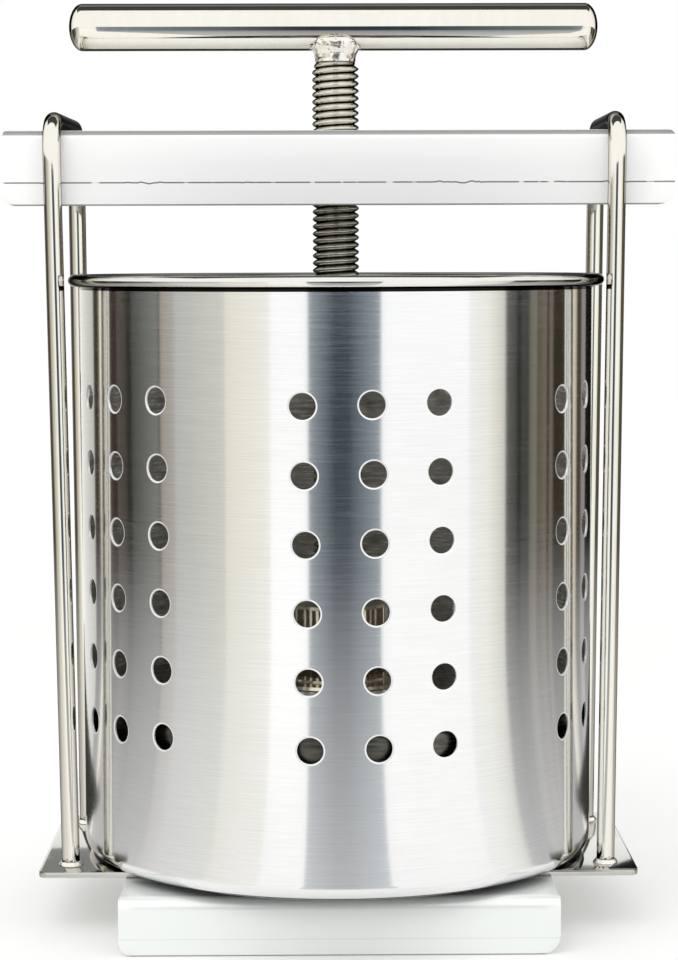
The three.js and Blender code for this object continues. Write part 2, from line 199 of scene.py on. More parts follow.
plainLook = {
    "metallic": 1.0,
    "light": "e2e1de", "dark": "d6d5d0",  # the two tones of the slow stains
    "stain": 30,  # mm
    "grain": (0.4, 0.4, 0.4),  # mm: long along the way the steel was worked
    "grainTone": 0.04,
    "rough": (0.08, 0.14),
    "bump": 0.1, "bumpDepth": 0.02,
    "waves": 0, "waveDepth": 0.0,  # mm: slow unevenness of a drawn or rolled face
    "anisotropic": 0.0,
    "edgeTint": "ffffff",  # what a glancing look leaves of the reflection
    "rootRadius": 0, "crestRadius": 0, "root": "1c1810",  # mm: painted shade darkens a thread from crest to root
    "scoreHeight": 0, "scoreTone": "70706c",  # mm: a thin broken line along a folded sheet, painted as the reflection of an edge
    "scoreWander": 26, "scoreWiggle": 4, "scoreRise": 2.2, "scoreWidth": (0.02, 0.24),
    "bands": (),  # level bands: lower and upper height in mm, and their tone; some are painted shade
}


def steelFinish(name, changes):
    # worked steel: a grain, slow stains, and where asked faint waves, a brushed sheen, a thin line painted as
    # the reflection of an edge, painted shade in a thread's roots, or level bands
    look = {**plainLook, **changes}
    material, add = clearNodes(bpy.data.materials.new(name))
    place = add("ShaderNodeTexCoord").outputs["Object"]
    parts = add("ShaderNodeSeparateXYZ", [place]).outputs
    scale = [1 / (size * mm) for size in look["grain"]]
    grainPlace = add("ShaderNodeMapping", {"Vector": place, "Scale": scale})
    grain = add("ShaderNodeTexNoise", {"Vector": grainPlace, "Scale": 1.0, "Detail": 3.0, "Roughness": 0.6})
    stains = add("ShaderNodeTexNoise", {"Vector": place, "Scale": 1 / (look["stain"] * mm), "Detail": 4.0})
    tones = {0: stains, 6: linear(look["light"]), 7: linear(look["dark"])}
    stained = add("ShaderNodeMix", tones, data_type="RGBA")
    # map range: value, from low, from high, to low, to high
    grainTone = add("ShaderNodeMapRange", [grain, 0.3, 0.7, 1 - look["grainTone"], 1.0])
    colour = add("ShaderNodeMix", {0: 1.0, 6: stained.outputs[2], 7: grainTone},
                 data_type="RGBA", blend_type="MULTIPLY")
    marks = []  # each is where another tone lies over the steel, and the tone
    if look["scoreHeight"]:
        # a painted reflection of an edge: the line runs straight, wanders in a few places, thins out and
        # breaks off in others
        noises = []
        for size in (look["scoreWander"], look["scoreWiggle"]):
            along = add("ShaderNodeMapping", {"Vector": place, "Scale": (1 / (size * mm), 0.0, 0.0)})
            noises.append(add("ShaderNodeTexNoise", {"Vector": along, "Scale": 1.0, "Detail": 2.0}))
        wander, wiggle = noises
        thin, thick = look["scoreWidth"]
        loose = add("ShaderNodeMapRange", [wander, 0.52, 0.6, 0.0, look["scoreRise"] * mm])
        centred = add("ShaderNodeMath", [wiggle, 0.5], operation="SUBTRACT")
        height = add("ShaderNodeMath", [centred, loose, look["scoreHeight"] * mm], operation="MULTIPLY_ADD")
        away = add("ShaderNodeMath", [parts[2], height], operation="SUBTRACT")
        distance = add("ShaderNodeMath", [away], operation="ABSOLUTE")
        width = add("ShaderNodeMapRange", [wiggle.outputs[1], 0.36, 0.44, thin * mm, thick * mm])
        share = add("ShaderNodeMath", [distance, width], operation="DIVIDE")
        marks.append((add("ShaderNodeMapRange", [share, 0.6, 1.3, 1.0, 0.0]), look["scoreTone"]))
    if look["rootRadius"]:
        # painted shade: the thread darkens from its crest to its root
        flat = add("ShaderNodeCombineXYZ", [parts[0], parts[1]])
        radius = add("ShaderNodeVectorMath", [flat], operation="LENGTH").outputs[1]
        root, crest = look["rootRadius"] * mm, look["crestRadius"] * mm
        marks.append((add("ShaderNodeMapRange", [radius, root, crest, 1.0, 0.0]), look["root"]))
    for low, high, tone in look["bands"]:
        limits = [parts[2], (low + high) / 2 * mm, (high - low) / 2 * mm]
        marks.append((add("ShaderNodeMath", limits, operation="COMPARE"), tone))
    for mark, tone in marks:
        colour = add("ShaderNodeMix", {0: mark, 6: colour.outputs[2], 7: linear(tone)}, data_type="RGBA")
    rough = add("ShaderNodeMapRange", [grain, 0.3, 0.7, *look["rough"]])
    depth = look["bumpDepth"] * mm
    bump = add("ShaderNodeBump", {"Height": grain, "Strength": look["bump"], "Distance": depth})
    if look["waves"]:
        waves = add("ShaderNodeTexNoise", {"Vector": place, "Scale": 1 / (look["waves"] * mm), "Detail": 1.0})
        depth = look["waveDepth"] * mm
        bump = add("ShaderNodeBump", {"Height": waves, "Strength": 1.0, "Distance": depth, "Normal": bump})
    surface = {"Metallic": look["metallic"], "Specular Tint": linear(look["edgeTint"]),
               "Base Color": colour.outputs[2], "Roughness": rough, "Normal": bump}
    if look["anisotropic"]:
        # the brush ran round the axis, and the sheen lies across its lines
        back = add("ShaderNodeMath", [parts[1], -1.0], operation="MULTIPLY")
        around = add("ShaderNodeCombineXYZ", [back, parts[0]])
        surface["Tangent"] = add("ShaderNodeVectorMath", [around], operation="NORMALIZE")
        surface["Anisotropic"] = look["anisotropic"]
        surface["Anisotropic Rotation"] = 0.25
    add("ShaderNodeOutputMaterial", [add("ShaderNodeBsdfPrincipled", surface)])
    return material


# stainless rod, drawn and polished: a warm near mirror with faint waviness along it
polishedRod = steelFinish("stainless_rod_polished", {
    "light": "f3f0e8", "dark": "e9e5da", "grain": (3.0, 3.0, 14.0), "rough": (0.03, 0.07),
    "waves": 16, "waveDepth": 0.01, "edgeTint": "24221e",
})
# stainless strip, rolled and polished: a darker mirror with slight haze
polishedStrip = steelFinish("stainless_strip_polished", {
    "light": "d0cfca", "dark": "b8b7b0", "grain": (9.0, 0.5, 0.5), "rough": (0.06, 0.1),
})
# stainless cup, brushed round: crisp upright reflections, smeared up and down by fine level lines,
# with bands of painted shade in the crease over the strip and under the lip
brushedWall = steelFinish("stainless_cup_brushed_round", {
    "light": "f7f7f6", "dark": "f0f1f2", "grain": (16.0, 16.0, 0.3), "grainTone": 0.085, "rough": (0.1, 0.16),
    "bump": 0.03, "bumpDepth": 0.006, "anisotropic": 0.8,
    "bands": ((20.9, 22.3, "14120e"), (214.9, 216.5, "1c1a16")),
})
# the cup's inside, as drawn: dull, with level die marks and dark mottled tones that are painted shade inside
# the cup
drawnInside = steelFinish("stainless_cup_inside_drawn", {
    "metallic": 0.45, "light": "f4f2ea", "dark": "7c796e", "stain": 5, "grain": (9.0, 9.0, 1.1),
    "grainTone": 0.5, "rough": (0.14, 0.32),
})
# edge of a punched hole, tumbled: a thin white ring
deburredEdge = steelFinish("stainless_edge_tumbled", {
    "light": "ffffff", "dark": "f8f8f6", "metallic": 0.5, "rough": (0.3, 0.4),
})
# rolled lip, burnished by the roller: a tight mirror, with a band of painted shade under its curl
rolledLip = steelFinish("stainless_lip_rolled", {
    "light": "efeeea", "dark": "e4e2dc", "grain": (18.0, 18.0, 0.4), "rough": (0.05, 0.09),
    "edgeTint": "24221e", "bands": ((214.9, 216.5, "1c1a16"),),
})
# stainless sheet, folded and finely blasted: an even, almost white sheen
satinLook = {
    "metallic": 0.2, "light": "fefefd", "dark": "f9faf9", "stain": 45, "grain": (9.0, 9.0, 0.7),
    "grainTone": 0.008, "rough": (0.24, 0.26), "bump": 0.01, "bumpDepth": 0.001,
}
# the foot's: a grey sheared edge, and a faint line of the rolls above it
satinSheet = steelFinish("stainless_sheet_satin", {
    **satinLook, "light": "f9fcfa", "dark": "f3f7f4", "bands": ((-0.1, 0.4, "969894"), (5.4, 5.65, "e2e6e3")),
})
# the crossbeam's: a thin line painted as the reflection of an edge, a grey sheared edge, and a band of
# painted shade on the top bend
satinBeam = steelFinish("stainless_sheet_satin_scored", {
    **satinLook, "scoreHeight": 250.6, "bands": ((242.9, 243.5, "9a9a97"), (266.3, 267.8, "a4a4a2")),
})
# turned stainless: clear tool marks round the part, warm in tone
turnedSteel = steelFinish("stainless_turned", {
    "light": "ece5d4", "dark": "d2c8b2", "grain": (9.0, 9.0, 0.3), "grainTone": 0.14, "rough": (0.06, 0.13),
})
# the screw: the same, with painted shade darkening the roots of its thread
threadedSteel = steelFinish("stainless_thread_greased", {
    "light": "f3f2ea", "dark": "c9c4b2", "stain": 3, "grain": (9.0, 9.0, 0.3), "grainTone": 0.12,
    "rough": (0.04, 0.09), "edgeTint": "181610", "rootRadius": 6.6, "crestRadius": 7.15,
})
# press plate, rolled and left dull: mottled, with dark tones that are painted shade inside the basket
dullPlate = steelFinish("stainless_plate_dull", {
    "light": "8b887e", "dark": "3a3832", "stain": 5, "grain": (9.0, 9.0, 1.1), "grainTone": 0.6,
    "rough": (0.2, 0.36),
})
# weld bead, pickled clean: lumpy and bright, with a brown tint in patches
weldMetal = steelFinish("stainless_weld_pickled", {
    "light": "fffefb", "dark": "e2dccb", "stain": 2.2, "grain": (0.9, 0.9, 0.9), "rough": (0.1, 0.24),
    "bump": 0.25, "bumpDepth": 0.08,
})
print("materials are mixed")


# Geometry node helpers

def newTree(name, sockets):
    # takes labels by their type; gives the tree, the call that adds a node to it, and its inputs by label
    tree = bpy.data.node_groups.new(name, "GeometryNodeTree")
    for kind, labels in {"Geometry": ["Geometry"], **sockets}.items():
        for label in labels:
            tree.interface.new_socket(label, in_out="INPUT", socket_type="NodeSocket" + kind)
    tree.interface.new_socket("Geometry", in_out="OUTPUT", socket_type="NodeSocketGeometry")
    given = {socket.name: socket for socket in addNode(tree, "NodeGroupInput").outputs if socket.name}
    return tree, partial(addNode, tree), given


def closeTree(tree, given, parts, merge=None, marks=()):
    # joins the parts, merges their seams, and paints the whole, then each marked set of faces
    made = parts[0]
    if merge:
        joined = addNode(tree, "GeometryNodeJoinGeometry")
        for part in parts:
            tree.links.new(part, joined.inputs[0])
        made = addNode(tree, "GeometryNodeMergeByDistance", {"Geometry": joined, "Distance": merge})
    made = addNode(tree, "GeometryNodeRealizeInstances", [made])
    made = addNode(tree, "GeometryNodeSetMaterial", {"Geometry": made, "Material": given["Material"]})
    for name, material in marks:
        marked = addNode(tree, "GeometryNodeInputNamedAttribute", {"Name": name}, data_type="BOOLEAN")
        made = addNode(tree, "GeometryNodeSetMaterial",
                       {"Geometry": made, "Selection": marked, "Material": given[material]})
    addNode(tree, "NodeGroupOutput", [made])
    return tree


def growPiece(piece, tree, values):
    # sets the inputs by identifier before the first evaluation, then turns the result into a plain mesh
    modifier = piece.modifiers.new(tree.name, "NODES")
    modifier.node_group = tree
    for item in tree.interface.items_tree:
        if item.item_type == "SOCKET" and item.in_out == "INPUT" and item.name in values:
            modifier[item.identifier] = values[item.name]
    return applied(piece)


# Foot and crossbeam: folded sheets

foot = {  # mm
    "left": -71.8, "right": 71.8, "depth": 144, "bottom": 0, "top": 19, "sheet": 2, "bend": 4,
    "cornerLeft": 4.5, "cornerRight": 6.5, "topLeft": 0.5, "topRight": 0.5, "rearShorter": 0, "edge": 0.25,
}
beam = {  # mm
    "left": -111, "right": 113, "depth": 55, "bottom": 243, "top": 268, "sheet": 2, "bend": 3,
    "cornerLeft": 3.8, "cornerRight": 5.5, "topLeft": 1.2, "topRight": 2.0, "rearShorter": 2.5, "edge": 0.3,
    "hole": 8.8, "holeSides": 72,
}
sheetMesh = {"columns": 25, "bendSteps": 10, "cornerShares": (0, 0.2, 0.3, 0.4, 0.5, 0.6, 0.7, 0.8, 0.9, 1)}


def foldedSheet(name, size, material):
    # outer skin of the channel as a grid whose rows follow the rounded lower corners
    half, bend, top, bottom = size["depth"] / 2, size["bend"], size["top"], size["bottom"]
    big = max(size["cornerLeft"], size["cornerRight"])
    section = []
    for side, low in ((-1, bottom), (1, bottom + size["rearShorter"])):
        rows = [(side * half, low + big * (1 - math.cos(math.pi / 2 * t))) for t in sheetMesh["cornerShares"]]
        rows.append((side * half, (low + big + top - bend) / 2))
        fold = arc(half - bend, top - bend, bend, bend, 0, 90, sheetMesh["bendSteps"])
        rows += [(side * y, z) for y, z in fold]
        section += [(y, z, low) for y, z in (rows if side < 0 else rows[::-1])]
    points = []
    last = sheetMesh["columns"] - 1
    for y, z, low in section:
        ends = []
        for end, inward in (("Left", 1), ("Right", -1)):
            # the rounded lower corner and the small upper one take this much off the row's end
            corner, upper = size["corner" + end], size["top" + end]
            cut = corner - math.sqrt(max(0.0, corner ** 2 - max(0.0, low + corner - z) ** 2))
            cut += upper - math.sqrt(max(0.0, upper ** 2 - max(0.0, z - top + upper) ** 2))
            ends.append(size[end.lower()] + inward * cut)
        points += [(ends[0] + (ends[1] - ends[0]) * i / last, y, z) for i in range(last + 1)]
    piece = meshObject(name, points, gridFaces(len(section), last + 1), material)
    modify(piece, "SOLIDIFY", thickness=size["sheet"] * mm, offset=-1, use_even_offset=True)
    cutters = []
    if "hole" in size:
        low, high = top - 4 * size["sheet"], top + 4 * size["sheet"]
        profile = [(0, low), (size["hole"], low), (size["hole"], high), (0, high)]
        cutters.append(meshObject(name + "Cutter", *turnedMesh(profile, size["holeSides"])))
        modify(piece, "BOOLEAN", object=cutters[0], operation="DIFFERENCE", solver="EXACT")
    breakEdges(piece, size["edge"])
    return smoothen(applied(piece, *cutters))


finishPiece(foldedSheet("footSheet", foot, satinSheet), "frame", "satin_sheet", "base_foot")
finishPiece(foldedSheet("beamSheet", beam, satinBeam), "frame", "satin_sheet", "crossbeam")
print("foot and crossbeam are folded")


# Strip plate

strip = {  # mm
    "length": 201, "depth": 88, "bottom": 19.05, "sheet": 2, "corner": 3, "cornerSteps": 8, "edge": 0.3,
}


def stripPlate():
    halfX, halfY, r = strip["length"] / 2, strip["depth"] / 2, strip["corner"]
    ring = []
    for cx, cy, start in ((1, -1, -90), (1, 1, 0), (-1, 1, 90), (-1, -1, 180)):
        ring += arc(cx * (halfX - r), cy * (halfY - r), r, r, start, start + 90, strip["cornerSteps"])
    count = len(ring)
    points = [(x, y, z) for z in (strip["bottom"], strip["bottom"] + strip["sheet"]) for x, y in ring]
    faces = gridFaces(2, count, around=True)
    faces += [tuple(range(count - 1, -1, -1)), tuple(range(count, 2 * count))]
    piece = meshObject("stripPlate", points, faces, polishedStrip)
    breakEdges(piece, strip["edge"])
    return smoothen(applied(piece))


finishPiece(stripPlate(), "frame", "polished_sheet", "base_strip")
print("strip plate is cut")


# Wire loops

loop = {  # mm
    "rod": 3, "halfSpacing": 32.5, "footX": 90.6, "topX": 93.3, "low": 21.2, "base": 21.05, "top": 274.2,
    "bend": 9, "leftTurn": 1.1, "sides": 40, "legSteps": 40, "bendSteps": 16, "topSteps": 8,
}


def loopTree():
    # a rod swept along the loop's centre line
    sockets = {"Float": ["Radius"], "Int": ["Sides"], "Material": ["Material"]}
    tree, add, given = newTree("bentRod", sockets)
    path = add("GeometryNodeMeshToCurve", [given["Geometry"]])
    size = {"Resolution": given["Sides"], "Radius": given["Radius"]}
    section = add("GeometryNodeCurvePrimitiveCircle", size)
    rod = add("GeometryNodeCurveToMesh", {"Curve": path, "Profile Curve": section, "Fill Caps": True})
    return closeTree(tree, given, [rod])


def loopPath(side):
    # up the front leg and half way over the crossbeam, then the same backwards behind
    high, half, bend = loop["top"] - loop["rod"], loop["halfSpacing"], loop["bend"]
    legs, tops = loop["legSteps"], loop["topSteps"]
    flat = [(-half, loop["low"] + (high - bend - loop["low"]) * i / legs) for i in range(legs)]
    flat += arc(-half + bend, high - bend, bend, bend, 180, 90, loop["bendSteps"])
    flat += [(-half + bend + (half - bend) * i / tops, high) for i in range(1, tops)]
    flat += [(0.0, high)] + [(-y, z) for y, z in reversed(flat)]
    points = []
    for y, z in flat:
        lean = (z - loop["base"]) / (loop["top"] - loop["base"])
        turned = loop["leftTurn"] * lean * y / half if side < 0 else 0
        points.append((side * (loop["footX"] + (loop["topX"] - loop["footX"]) * lean) + turned, y, z))
    return points


rodTree = loopTree()
for side, name in ((-1, "left"), (1, "right")):
    route = loopPath(side)
    piece = meshObject(name + "WireLoop", route, [])
    piece.data.edges.add(len(route) - 1)
    for i, edge in enumerate(piece.data.edges):
        edge.vertices = (i, i + 1)
    growPiece(piece, rodTree, {"Radius": loop["rod"] * mm, "Sides": loop["sides"], "Material": polishedRod})
    finishPiece(smoothen(piece), "frame", "polished_rod", name + "_loop")
print("wire loops are bent")


# Basket

basket = {  # mm and degrees
    "radius": 88, "sheet": 0.8, "bottom": 21.1, "height": 199, "corner": 5.5, "cornerSteps": 10,
    "lipRadial": 2.47, "lipVertical": 2.1,  # half the width and half the height of the curled lip
    "lipOpening": 150, "lipSteps": (22, 33),  # degrees at which the curl ends; steps inside it and outside
    "hole": 4.25, "deburr": 0.55, "deburrDepth": 0.16, "plainRing": 0.35, "tileShares": (0, 0.45, 0.8, 1),
    # a hole's edge from outside in: shares of the deburred width past the hole, and of its depth
    "deburrProfile": ((1, 0), (0.62, 0.14), (0.28, 0.45), (0.04, 1)),
    "rows": 6, "firstRow": 179.65, "rowPitch": 21.8, "columns": 3, "columnPitch": 14.35,
    "groups": (-55.4, 7.6, 71.9, 131.5, 194, 251.5),  # degrees from the front
    "turn": 1.1, "fade": 7.4,  # each group stands slightly askew, and the sheet round it fades back
    "cellSteps": 10, "gapSteps": 10, "floorShares": (0.0, 0.1, 0.25, 0.45, 0.65, 0.82),
    "rowsBelow": (20, 8, 0), "rowsAbove": (0, 8, 16),  # plain rows of the wall, closer near the holes
    "merge": 0.01,
}
columnStep = math.radians(basket["columnPitch"]) * basket["radius"]
middleRow = basket["firstRow"] - basket["rowPitch"] * (basket["rows"] - 1) / 2


def markFaces(piece, name, values):
    mark = piece.data.attributes.new(name, "BOOLEAN", "FACE")
    mark.data.foreach_set("value", values)


def holeTile():
    # one flat cell of the wall: rings from the cell's border to the deburred hole, outside and inside
    width, height, steps = columnStep, basket["rowPitch"], basket["cellSteps"]
    corners = ((-1, -1), (1, -1), (1, 1), (-1, 1), (-1, -1))
    border = []
    for (x, y), (nextX, nextY) in zip(corners, corners[1:]):
        border += [(width / 2 * (x + (nextX - x) * i / steps), height / 2 * (y + (nextY - y) * i / steps))
                   for i in range(steps)]
    units = [Vector(point).normalized() for point in border]
    plain = basket["hole"] + basket["deburr"] + basket["plainRing"]
    outer = []
    for share in basket["tileShares"]:
        outer.append([(x + (u.x * plain - x) * share, y + (u.y * plain - y) * share, 0.0)
                      for (x, y), u in zip(border, units)])
    for share, depth in basket["deburrProfile"]:
        radius = basket["hole"] + basket["deburr"] * share
        outer.append([(u.x * radius, u.y * radius, -basket["deburrDepth"] * depth) for u in units])
    rings = outer + [[(x, y, -basket["sheet"] - z) for x, y, z in ring] for ring in reversed(outer)]
    count, gaps = len(border), len(rings) - 1
    points = [point for ring in rings for point in ring]
    tile = meshObject("holeTile", points, gridFaces(len(rings), count, around=True))
    flat = len(basket["tileShares"])
    markFaces(tile, "holeEdge", [flat <= j < gaps - flat for j in range(gaps) for i in range(count)])
    markFaces(tile, "inside", [j >= len(rings) // 2 for j in range(gaps) for i in range(count)])
    return tile


def basketSkin():
    # the rest of the basket, unrolled: x along the wall, y up, z outwards from the outer face
    radius, sheet, bottom, corner = (basket[k] for k in ("radius", "sheet", "bottom", "corner"))
    lipRadial, lipVertical = basket["lipRadial"], basket["lipVertical"]
    steps, gapSteps, rows = basket["cellSteps"], basket["gapSteps"], basket["rows"]
    bandLow, bandHigh = middleRow - basket["rowPitch"] * rows / 2, middleRow + basket["rowPitch"] * rows / 2
    groupWidth, groupSteps = basket["columns"] * columnStep, basket["columns"] * steps
    starts = [math.radians(centre) * radius - groupWidth / 2 for centre in basket["groups"]]
    starts.append(starts[0] + 2 * math.pi * radius)
    inGroup, between = [], []
    for start, following in zip(starts, starts[1:]):
        inGroup.append([start + groupWidth * k / groupSteps for k in range(groupSteps + 1)])
        end = inGroup[-1][-1]
        between.append([end + (following - end) * k / gapSteps for k in range(gapSteps + 1)])
    # the sheet's own seam lies midway in the last gap, where no group turns it
    last, half = between.pop(), gapSteps // 2
    between += [last[:half + 1], [u - 2 * math.pi * radius for u in last[half:]]]
    lipZ, lipW = bottom + basket["height"] - lipVertical, lipRadial - sheet
    bend = arc(-corner, bottom + corner, corner, corner, -90, 0, basket["cornerSteps"])
    innerBend = arc(-corner, bottom + corner, corner - sheet, corner - sheet, 0, -90, basket["cornerSteps"])
    floor = [-radius * (1 - share) for share in basket["floorShares"]]
    under = [bandLow - gap for gap in basket["rowsBelow"]]
    over = [bandHigh + gap for gap in basket["rowsAbove"]] + [lipZ - 2]
    lower = [(w, bottom) for w in floor] + bend + [(0, z) for z in under]
    upper = [(0, z) for z in over]
    opening, (innerSteps, outerSteps) = -basket["lipOpening"], basket["lipSteps"]
    upper += arc(lipW, lipZ, lipRadial - sheet, lipVertical - sheet, 180, opening, innerSteps)
    upper += arc(lipW, lipZ, lipRadial, lipVertical, opening, 180, outerSteps)
    upper += [(-sheet, z) for z in reversed(over)]
    inside = [(-sheet, z) for z in reversed(under)] + innerBend
    inside += [(w, bottom + sheet) for w in reversed(floor)]
    heights = [bandLow + (bandHigh - bandLow) * k / (rows * steps) for k in range(rows * steps + 1)]
    patches = [(columns, profile, profile is inside)
               for columns in inGroup + between for profile in (lower, upper, inside)]
    for columns in between:
        patches.append((columns, [(0, z) for z in heights], False))
        patches.append((columns, [(-sheet, z) for z in reversed(heights)], True))
    points, faces, insideMarks, lipMarks = [], [], [], []
    for columns, profile, isInside in patches:
        patch = gridFaces(len(columns), len(profile), start=len(points), flip=True)
        points += [(u, z, w) for u in columns for w, z in profile]
        faces += patch
        insideMarks += [isInside] * len(patch)
        lipMarks += [min(points[i][1] for i in face) > lipZ - lipVertical - 0.3 for face in patch]
    wall = meshObject("basketWall", points, faces)
    markFaces(wall, "inside", insideMarks)
    markFaces(wall, "lip", lipMarks)
    return wall


def basketTree():
    # perforates the unrolled wall, turns each group of holes a little, and rolls the wall up
    tree, add, given = newTree("perforatedBasket", {
        "Object": ("Group Centres", "Hole Tile"), "Int": ("Columns", "Rows"),
        "Float": ("Column Pitch", "Row Pitch", "Middle Height", "Turn", "Fade", "Radius", "Merge"),
        "Material": ("Material", "Inside Material", "Lip Material", "Edge Material")})
    centres = add("GeometryNodeObjectInfo", {"Object": given["Group Centres"]}).outputs["Geometry"]
    tile = add("GeometryNodeObjectInfo", {"Object": given["Hole Tile"]}).outputs["Geometry"]
    place = add("GeometryNodeInputPosition").outputs[0]
    x, y, z = add("ShaderNodeSeparateXYZ", [place]).outputs
    probe = add("ShaderNodeCombineXYZ", [x, given["Middle Height"]])
    nearest = add("GeometryNodeSampleNearest", {"Geometry": centres, "Sample Position": probe})
    centre = add("GeometryNodeSampleIndex", {"Geometry": centres, "Value": place, "Index": nearest},
                 data_type="FLOAT_VECTOR")
    known = {name.replace(" ", ""): socket for name, socket in given.items()}
    known.update(x=x, y=y, z=z, centre=add("ShaderNodeSeparateXYZ", [centre]).outputs[0])
    # arithmetic, step by step: a name, an operation and what it works on
    steps = ["columnsLess SUBTRACT Columns 1", "width MULTIPLY ColumnPitch columnsLess",
             "rowsLess SUBTRACT Rows 1", "height MULTIPLY RowPitch rowsLess",
             "across SUBTRACT x centre", "up SUBTRACT y MiddleHeight"]
    for way, pitch, count in (("across", "ColumnPitch", "Columns"), ("up", "RowPitch", "Rows")):
        # a group's turn is full over its holes, and fades out round them
        steps += [f"away ABSOLUTE {way}", f"size MULTIPLY {pitch} {count}", "half MULTIPLY size 0.5",
                  "past SUBTRACT away half", "share DIVIDE past Fade", "left SUBTRACT 1 share",
                  "kept MAXIMUM left 0", f"{way}Faded MINIMUM kept 1"]
    steps += ["tilt SINE Turn", "faded MULTIPLY acrossFaded upFaded", "amount MULTIPLY tilt faded",
              "shiftY MULTIPLY across amount", "turnedUp MULTIPLY up amount", "shiftX MULTIPLY turnedUp -1"]
    # the roll: x becomes an angle from the front, and z adds to the radius
    steps += ["angle DIVIDE x Radius", "reach ADD Radius z", "sine SINE angle", "cosine COSINE angle",
              "rolledX MULTIPLY reach sine", "forward MULTIPLY reach cosine", "rolledY MULTIPLY forward -1"]
    for name, operation, *values in map(str.split, steps):
        inputs = [known[value] if value in known else float(value) for value in values]
        known[name] = add("ShaderNodeMath", inputs, operation=operation).outputs[0]
    grid = add("GeometryNodeMeshGrid", [known[name] for name in ("width", "height", "Columns", "Rows")])
    groups = add("GeometryNodeInstanceOnPoints", {"Points": centres, "Instance": grid})
    places = add("GeometryNodeRealizeInstances", [groups])
    holes = add("GeometryNodeInstanceOnPoints", {"Points": places, "Instance": tile})
    cells = add("GeometryNodeRealizeInstances", [holes])
    joined = add("GeometryNodeJoinGeometry", [given["Geometry"]])
    tree.links.new(cells.outputs[0], joined.inputs[0])
    sheet = add("GeometryNodeMergeByDistance", {"Geometry": joined, "Distance": given["Merge"]})
    shift = add("ShaderNodeCombineXYZ", [known["shiftX"], known["shiftY"]])
    warped = add("GeometryNodeSetPosition", {"Geometry": sheet, "Offset": shift})
    rolledPlace = add("ShaderNodeCombineXYZ", [known["rolledX"], known["rolledY"], y])
    rolled = add("GeometryNodeSetPosition", {"Geometry": warped, "Position": rolledPlace})
    return closeTree(tree, given, [rolled.outputs[0]], given["Merge"], (
        ("inside", "Inside Material"), ("lip", "Lip Material"), ("holeEdge", "Edge Material")))


def readValues(items, name, width, kind=np.float32):
    values = np.zeros(len(items) * width, kind)
    items.foreach_get(name, values)
    return values.reshape(-1, width) if width > 1 else values


def exactNormals(piece, radius, sheet):
    # the plain faces of a round wall get its true normals, so its reflections run straight past the holes
    mesh = piece.data
    normals = readValues(mesh.corner_normals, "vector", 3)
    places = readValues(mesh.vertices, "co", 3)
    corners = places[readValues(mesh.loops, "vertex_index", 1, np.int32)]
    sidesOfFace = readValues(mesh.polygons, "loop_total", 1, np.int32)
    facing = np.repeat(readValues(mesh.polygons, "normal", 3), sidesOfFace, axis=0)
    out = corners * np.array([1, 1, 0], np.float32)
    length = np.linalg.norm(out, axis=1)
    out /= np.maximum(length, 1e-9)[:, None]
    along = (facing * out).sum(1)
    level = np.abs(along) > math.cos(math.radians(5))  # not the deburred edges
    near = 0.02 * mm
    onWall = (np.abs(length - radius * mm) < near) | (np.abs(length - (radius - sheet) * mm) < near)
    pick = level & onWall
    normals[pick] = out[pick] * np.sign(along)[pick][:, None]
    mesh.normals_split_custom_set([tuple(n) for n in normals])


tile = holeTile()
centres = meshObject("groupCentres",
                     [(math.radians(c) * basket["radius"], middleRow, 0) for c in basket["groups"]], [])
basketPiece = growPiece(basketSkin(), basketTree(), {
    "Group Centres": centres, "Hole Tile": tile, "Columns": basket["columns"], "Rows": basket["rows"],
    "Column Pitch": columnStep * mm, "Row Pitch": basket["rowPitch"] * mm, "Middle Height": middleRow * mm,
    "Turn": math.radians(basket["turn"]), "Fade": basket["fade"] * mm, "Radius": basket["radius"] * mm,
    "Merge": basket["merge"] * mm, "Material": brushedWall, "Inside Material": drawnInside,
    "Lip Material": rolledLip, "Edge Material": deburredEdge})
bpy.data.objects.remove(tile)
bpy.data.objects.remove(centres)
smoothen(basketPiece)
exactNormals(basketPiece, basket["radius"], basket["sheet"])
finishPiece(basketPiece, "basket", "brushed_sheet", "basket")
print("basket is rolled and perforated:", len(basketPiece.data.polygons), "faces")


# Screw

screw = {  # mm
    "radius": 8, "depth": 1.5, "pitch": 2.5, "roundness": 1.8, "from": 110, "to": 292.5,
    "sides": 48, "rowsPerTurn": 10, "merge": 0.005,
    "journal": 6, "journalEnd": 82.1, "chamfer": 0.6, "shoulder": 107,
    "groove": 4.5, "grooveHeight": 92, "grooveWidth": 5,
    "head": 304.2, "seat": 8.15,  # the handle bar's axis, and the radius of the seat that it lies in
}
screwCore = screw["radius"] - screw["depth"]


